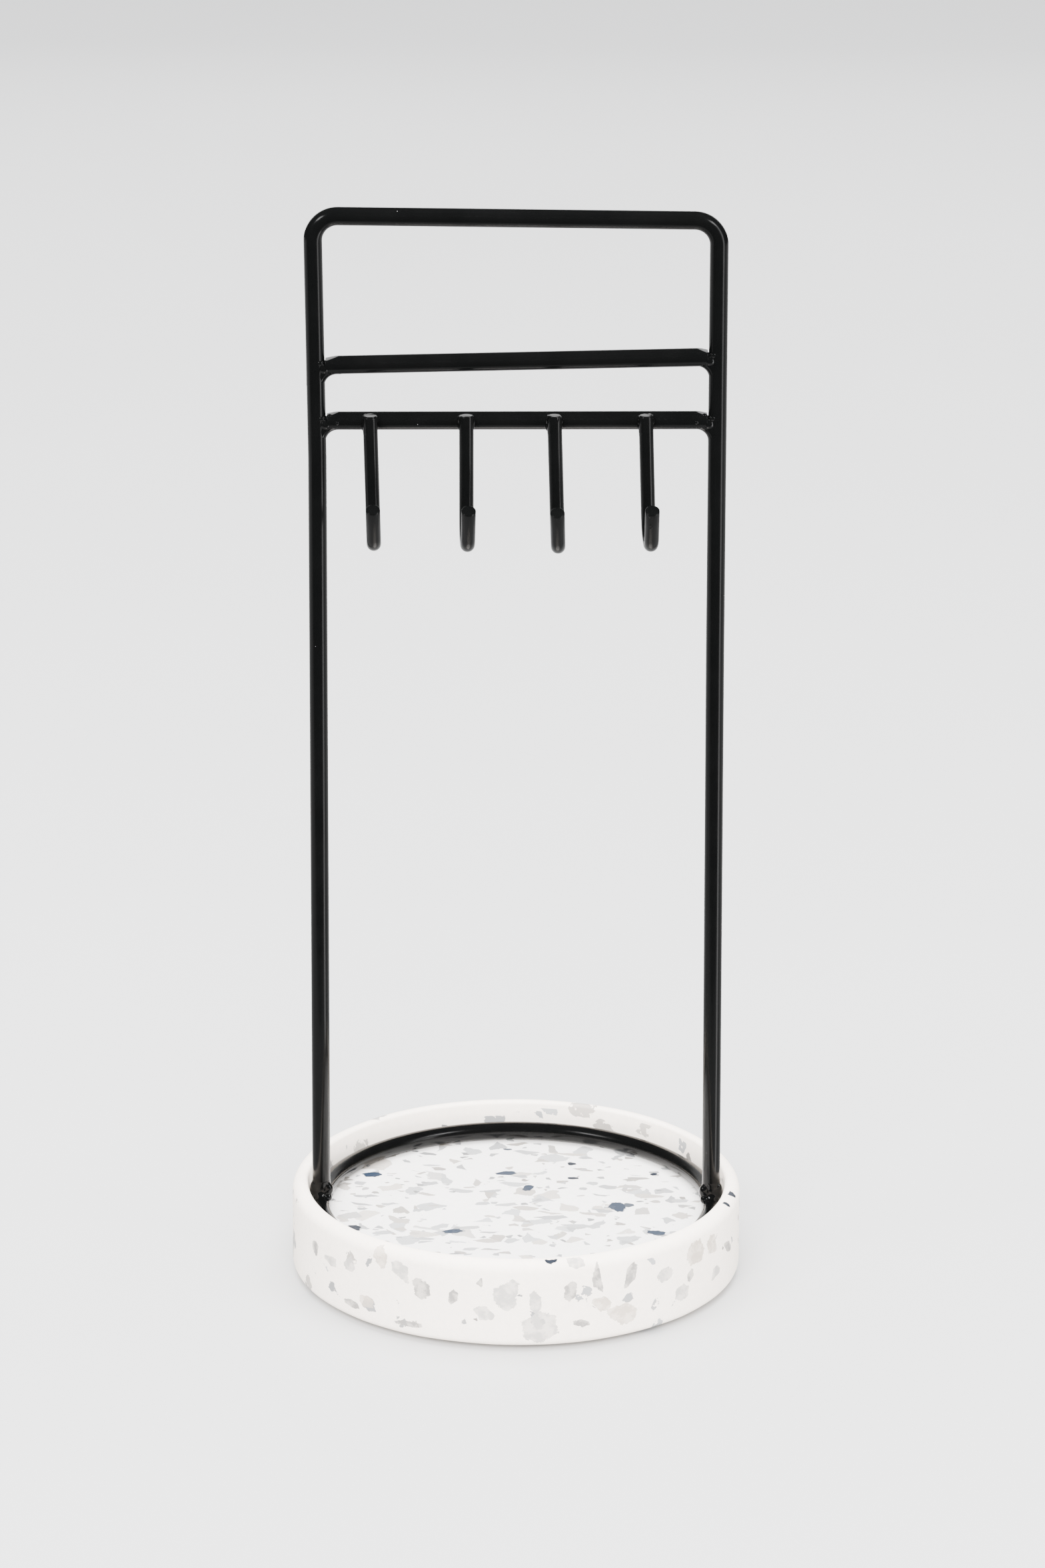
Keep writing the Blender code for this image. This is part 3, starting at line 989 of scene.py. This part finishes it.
def stub(start, end, radius):
    """A short sleeve over a rod, thinner than the rod at both ends."""
    deselect_everything()
    along = end - start
    turn = along.to_track_quat("Z", "Y").to_euler()
    bpy.ops.mesh.primitive_cylinder_add(
        vertices=40, radius=radius, depth=along.length, location=(start + end) / 2, rotation=turn
    )
    sleeve = name_and_open("sleeve")
    pick(sleeve, "FACE", lambda f: len(f.verts) > 8)
    bpy.ops.mesh.extrude_region_move(TRANSFORM_OT_translate={"value": (0, 0, 0)})
    for tip, way in ((start, -1), (end, 1)):
        pick(sleeve, "FACE", lambda f: len(f.verts) > 8 and (middle(f) - tip).length < 0.1 * MM)
        bpy.ops.transform.translate(value=tuple(along.normalized() * way * 2.5 * MM))
        bpy.ops.transform.resize(value=(0.9,) * 3, center_override=tuple(tip))
    bpy.ops.object.mode_set(mode="OBJECT")
    return sleeve


def melt(name, parts, voxel=0.24 * MM, rounds=16, ripple=0.10 * MM):
    """Joins the parts, melts them into one skin and smooths it."""
    deselect_everything()
    for part in parts:
        part.select_set(True)
    bpy.context.view_layer.objects.active = parts[0]
    bpy.ops.object.join()
    weld = bpy.context.object
    weld.name = weld.data.name = name
    apply_modifier(weld, "REMESH", mode="VOXEL", voxel_size=voxel, use_smooth_shade=True)
    apply_modifier(weld, "SMOOTH", factor=0.5, iterations=rounds)
    lumps = bpy.data.textures.get("weld_lumps") or bpy.data.textures.new("weld_lumps", "CLOUDS")
    lumps.noise_scale = 2.4 * MM
    lumps.noise_depth = 1
    apply_modifier(
        weld,
        "DISPLACE",
        texture=lumps,
        texture_coords="GLOBAL",
        strength=ripple,
        mid_level=0.62,
    )
    bpy.ops.object.shade_smooth()
    return weld


# %% [markdown]
# ### Where the legs stand on the ring
# Each leg stands on the ring in a fat collar about a centimetre tall. The collar stands proud
# of the leg on both sides and is lumpy, because the torch went round it in several passes.

# %% Foot welds
UP = Vector((0, 0, 1)) * MM
FRONT = Vector((0, -1, 0)) * MM
for side_name, foot, out in (("left", foot_left, -1), ("right", foot_right, 1)):
    across = Vector((out, 0, 0)) * MM
    ring_spot = Vector((foot.x, 0, RING_Z))
    ring_ends = [
        Vector((out * RING_RADIUS * math.cos(a), RING_RADIUS * math.sin(a), RING_Z))
        for a in (math.radians(-6.5), math.radians(6.5))
    ]
    parts = [
        stub(ring_spot, foot + UP * 4.5, ROD_RADIUS + WELD_SKIN),
        stub(ring_ends[0], ring_spot, ROD_RADIUS + WELD_SKIN),
        stub(ring_spot, ring_ends[1], ROD_RADIUS + WELD_SKIN),
        ball(foot + UP * 0.8 + across * 0.9, (3.1 * MM, 3.4 * MM, 4.6 * MM)),
        ball(foot + UP * 0.4 - across * 1.1, (3.1 * MM, 3.4 * MM, 3.9 * MM)),
        ball(foot - UP * 1.8, (3.5 * MM, 4.9 * MM, 2.9 * MM)),
        ball(foot + UP * 1.6 - across * 2.4 + FRONT * 1.5, (1.7 * MM, 1.8 * MM, 2.3 * MM)),
        ball(foot - UP * 0.8 + across * 0.4 + FRONT * 2.6, (2.4 * MM, 1.9 * MM, 1.9 * MM)),
        ball(foot - UP * 1.0 - across * 2.2 + FRONT * 2.4, (1.5 * MM, 1.4 * MM, 1.5 * MM)),
        ball(foot + UP * 2.6 + across * 2.2 + FRONT * 1.2, (1.5 * MM, 1.5 * MM, 2.0 * MM)),
    ]
    weld = melt(f"{side_name}_foot_weld_metal", parts, rounds=9, ripple=0.16 * MM)
    hand_over(weld, "frame", "coated_weld", weld_coat, f"{side_name}_foot_weld")

# %% [markdown]
# ### Where the crossbars meet the legs
# The torch reached these joints from below, so the metal fills the corner under the bar in a
# smooth hollow curve. A bit of rod bent through a quarter turn has just that curve on its
# inner side, so one is hidden in each corner, and melting blends its flanks into the rods.
# Above the bar there is only the notch of the ground end, with a small nub or two in it.

# %% Crossbar welds
HOLLOW_RADIUS = 4.0 * MM
FILLER_RADIUS = 2.6 * MM
FILLER_TAIL = 1.5 * MM
LEG_FROM_BAR_END = 3.3


def corner_filler(leg, inward):
    """A quarter turn of rod, whose inner side is the hollow of the weld."""
    swing = HOLLOW_RADIUS + FILLER_RADIUS
    turn_at = leg + Vector((inward * (ROD_RADIUS + HOLLOW_RADIUS), 0, 0))
    turn_at.z -= ROD_RADIUS - FILLER_RADIUS
    heading = Vector((-inward, 0, 0))
    start = turn_at - heading * FILLER_TAIL
    filler = start_rod("corner_filler", start, heading, FILLER_RADIUS)
    run_straight(turn_at - start)
    place, heading = bend(turn_at, heading, Vector((0, 0, -1)), swing, math.pi / 2, 16)
    run_straight(heading * FILLER_TAIL)
    fill_ends(filler)
    close_piece()
    return filler


for place_name, (left_end, right_end) in bars.items():
    for side_name, end, inward in (("left", left_end, 1), ("right", right_end, -1)):
        across = Vector((inward, 0, 0)) * MM
        leg = end - across * LEG_FROM_BAR_END
        parts = [
            corner_filler(leg, inward),
            stub(end - across * 0.8 - UP * 0.6, end + across * 4.6 - UP * 0.6, 2.2 * MM),
            stub(leg - UP * 6.5, leg + UP * 0.6, ROD_RADIUS - 0.10 * MM),
            ball(end - across * 0.5 - UP * 0.8, (2.6 * MM, 3.2 * MM, 2.3 * MM)),
            ball(leg + across * 1.7 + UP * 1.2 + FRONT * 2.2, (1.1 * MM, 0.9 * MM, 0.9 * MM)),
        ]
        if place_name == "lower":
            parts.append(ball(end + across * 1.0 + UP * 1.7 + FRONT * 1.4, (1.0 * MM,) * 3))
            parts.append(ball(end + across * 3.5 + FRONT * 2.8, (0.8 * MM,) * 3))
        weld = melt(
            f"{place_name}_{side_name}_weld_metal", parts, 0.17 * MM, rounds=12, ripple=0.03 * MM
        )
        node = f"{place_name}_weld_{side_name}"
        hand_over(weld, "frame", "coated_weld", weld_coat, node)

# %% [markdown]
# ### Where the hooks meet the bar
# Each hook is tacked in the groove between it and the bar. What shows is a short row of glossy
# nubs down its sides, heavier on the left, where the torch started. No two rows are alike, so
# the nubs get random sizes from a fixed seed.

# %% Hook welds
nub_draw = random.Random(4)
for number, (top_x, *_) in enumerate(HOOKS, 1):
    at = Vector((top_x * MM, HOOK_Y, bar_height(top_x * MM)))
    across = Vector((1, 0, 0)) * MM
    groove = at - FRONT * 2.2
    parts = [
        stub(at - UP * 2.2, at + UP * 1.0, HOOK_RADIUS - 0.04 * MM),
        ball(groove - UP * 0.5, (2.5 * MM, 1.4 * MM, 2.5 * MM)),
    ]
    for way, rises, reach in ((-1, (1.6, 0.3, -1.0), 2.0), (1, (1.1, -0.6), 1.9)):
        for rise in rises:
            size = nub_draw.uniform(0.65, 1.0)
            spot = groove + across * way * reach + UP * (rise + nub_draw.uniform(-0.3, 0.3))
            spot += FRONT * nub_draw.uniform(0.5, 1.6)
            parts.append(ball(spot, (size * MM, size * MM, size * 1.35 * MM)))
    weld = melt(f"hook_{number}_weld_metal", parts, 0.17 * MM, rounds=5, ripple=0.05 * MM)
    hand_over(weld, "frame", "coated_weld", weld_coat, f"hook_{number}_weld")

# %% [markdown]
# ### Spatter
# A few drops of weld metal landed on the tip of the last hook and were coated over.

# %% Spatter
DROPS = [
    # distance down from the tip, shift sideways, size, in mm
    (0.7, -0.9, 0.34),
    (1.1, 0.8, 0.28),
    (4.6, -0.5, 0.36),
    (5.4, 0.0, 0.30),
    (6.1, -0.6, 0.26),
]
tip, tip_heading = tips[4]
face_out = tip_heading.cross(Vector((1, 0, 0))).normalized()
face_out *= -1 if face_out.y > 0 else 1
drops = []
for down, shift, size in DROPS:
    lift = math.sqrt(HOOK_RADIUS**2 - (shift * MM) ** 2)
    spot = tip - tip_heading * down * MM + face_out * lift + Vector((shift * MM, 0, 0))
    drops.append(ball(spot, (size * MM,) * 3))
spatter = melt("hook_4_spatter", drops, 0.08 * MM, rounds=3, ripple=0.02 * MM)
hand_over(spatter, "frame", "coated_weld", weld_coat)

# %% [markdown]
# ## Studio
# The stand is on a plain pale floor under one large soft light, with a second one in front. A
# gloss black rod shows what stands round it more than its own colour, so the room is built for
# the reflections: a wide glow at table height draws the soft lines down both sides of each
# leg, a narrow strip on the right sharpens one of them, and a low glow behind lights the edges
# of the bars. Two small lights high on the left and right can't be seen in any straight rod, so
# they only sparkle in the bends, the welds and the ends of the hooks. Everything else that the
# coat can see is dim, so it stays black between them.

# %% Floor
FLOOR_SIZE = 6
deselect_everything()
bpy.ops.mesh.primitive_plane_add(size=FLOOR_SIZE, location=(0, 0, 0))
floor = name_and_open("studio_floor")
bpy.ops.object.mode_set(mode="OBJECT")
floor_paint, sheet, shader, here = new_material("studio_paint")
drift = sheet.noise(here, 0.004, 2.0, 0.5).outputs["Fac"]
sheet.join(sheet.mix(drift, grey(0.44), grey(0.47)), shader.inputs["Base Color"])
shader.inputs["Roughness"].default_value = 0.8
floor.data.materials.append(floor_paint)
floor.visible_glossy = False
floor.visible_shadow = False


# %% Lights
def soft_light(name, at, aim, size, power, in_gloss=True):
    """A rectangular soft light at a place, facing a point."""
    data = bpy.data.lights.new(name, "AREA")
    data.shape = "RECTANGLE"
    data.size, data.size_y = size
    data.energy = power
    light = bpy.data.objects.new(name, data)
    bpy.context.scene.collection.objects.link(light)
    light.location = at
    light.rotation_euler = (Vector(aim) - Vector(at)).to_track_quat("-Z", "Y").to_euler()
    light.visible_camera = False
    light.visible_glossy = in_gloss
    print("light:", name, power, "W")


soft_light("overhead", (0, 0.2, 1.9), (0, 0.1, 0), (2.0, 1.6), 166, in_gloss=False)
soft_light("front_fill", (-0.3, -2.4, 1.7), (0, 0, 0.1), (1.8, 1.2), 345, in_gloss=False)
soft_light("right_strip", (1.0, -0.55, 0.1), (0, 0, 0.1), (0.32, 1.8), 14.5)
soft_light("high_left", (-1.3, -0.9, 1.5), (0, 0, 0.3), (0.5, 0.5), 22)
soft_light("high_right", (1.3, -0.9, 1.5), (0, 0, 0.3), (0.5, 0.5), 18)
soft_light("back_glow", (0, 1.7, 0.62), (0, 0, 0.2), (2.6, 0.9), 14)
soft_light("table_glow", (0, 0.62, -0.02), (0, 0.62, 1), (4.0, 1.8), 28)


# %% World
ROOM_LIGHT = 2.0
ROOM_IN_GLOSS = 0.05
world = bpy.data.worlds.new("studio")
world.use_nodes = True
sheet = Sheet(world.node_tree)
background = world.node_tree.nodes["Background"]
glossy = sheet.add("ShaderNodeLightPath").outputs["Is Glossy Ray"]
strength = sheet.math("MULTIPLY", glossy, ROOM_IN_GLOSS - ROOM_LIGHT)
sheet.join(sheet.math("ADD", strength, ROOM_LIGHT), background.inputs["Strength"])
background.inputs["Color"].default_value = (0.97, 0.98, 1.0, 1)
bpy.context.scene.world = world
print("room light:", ROOM_LIGHT)
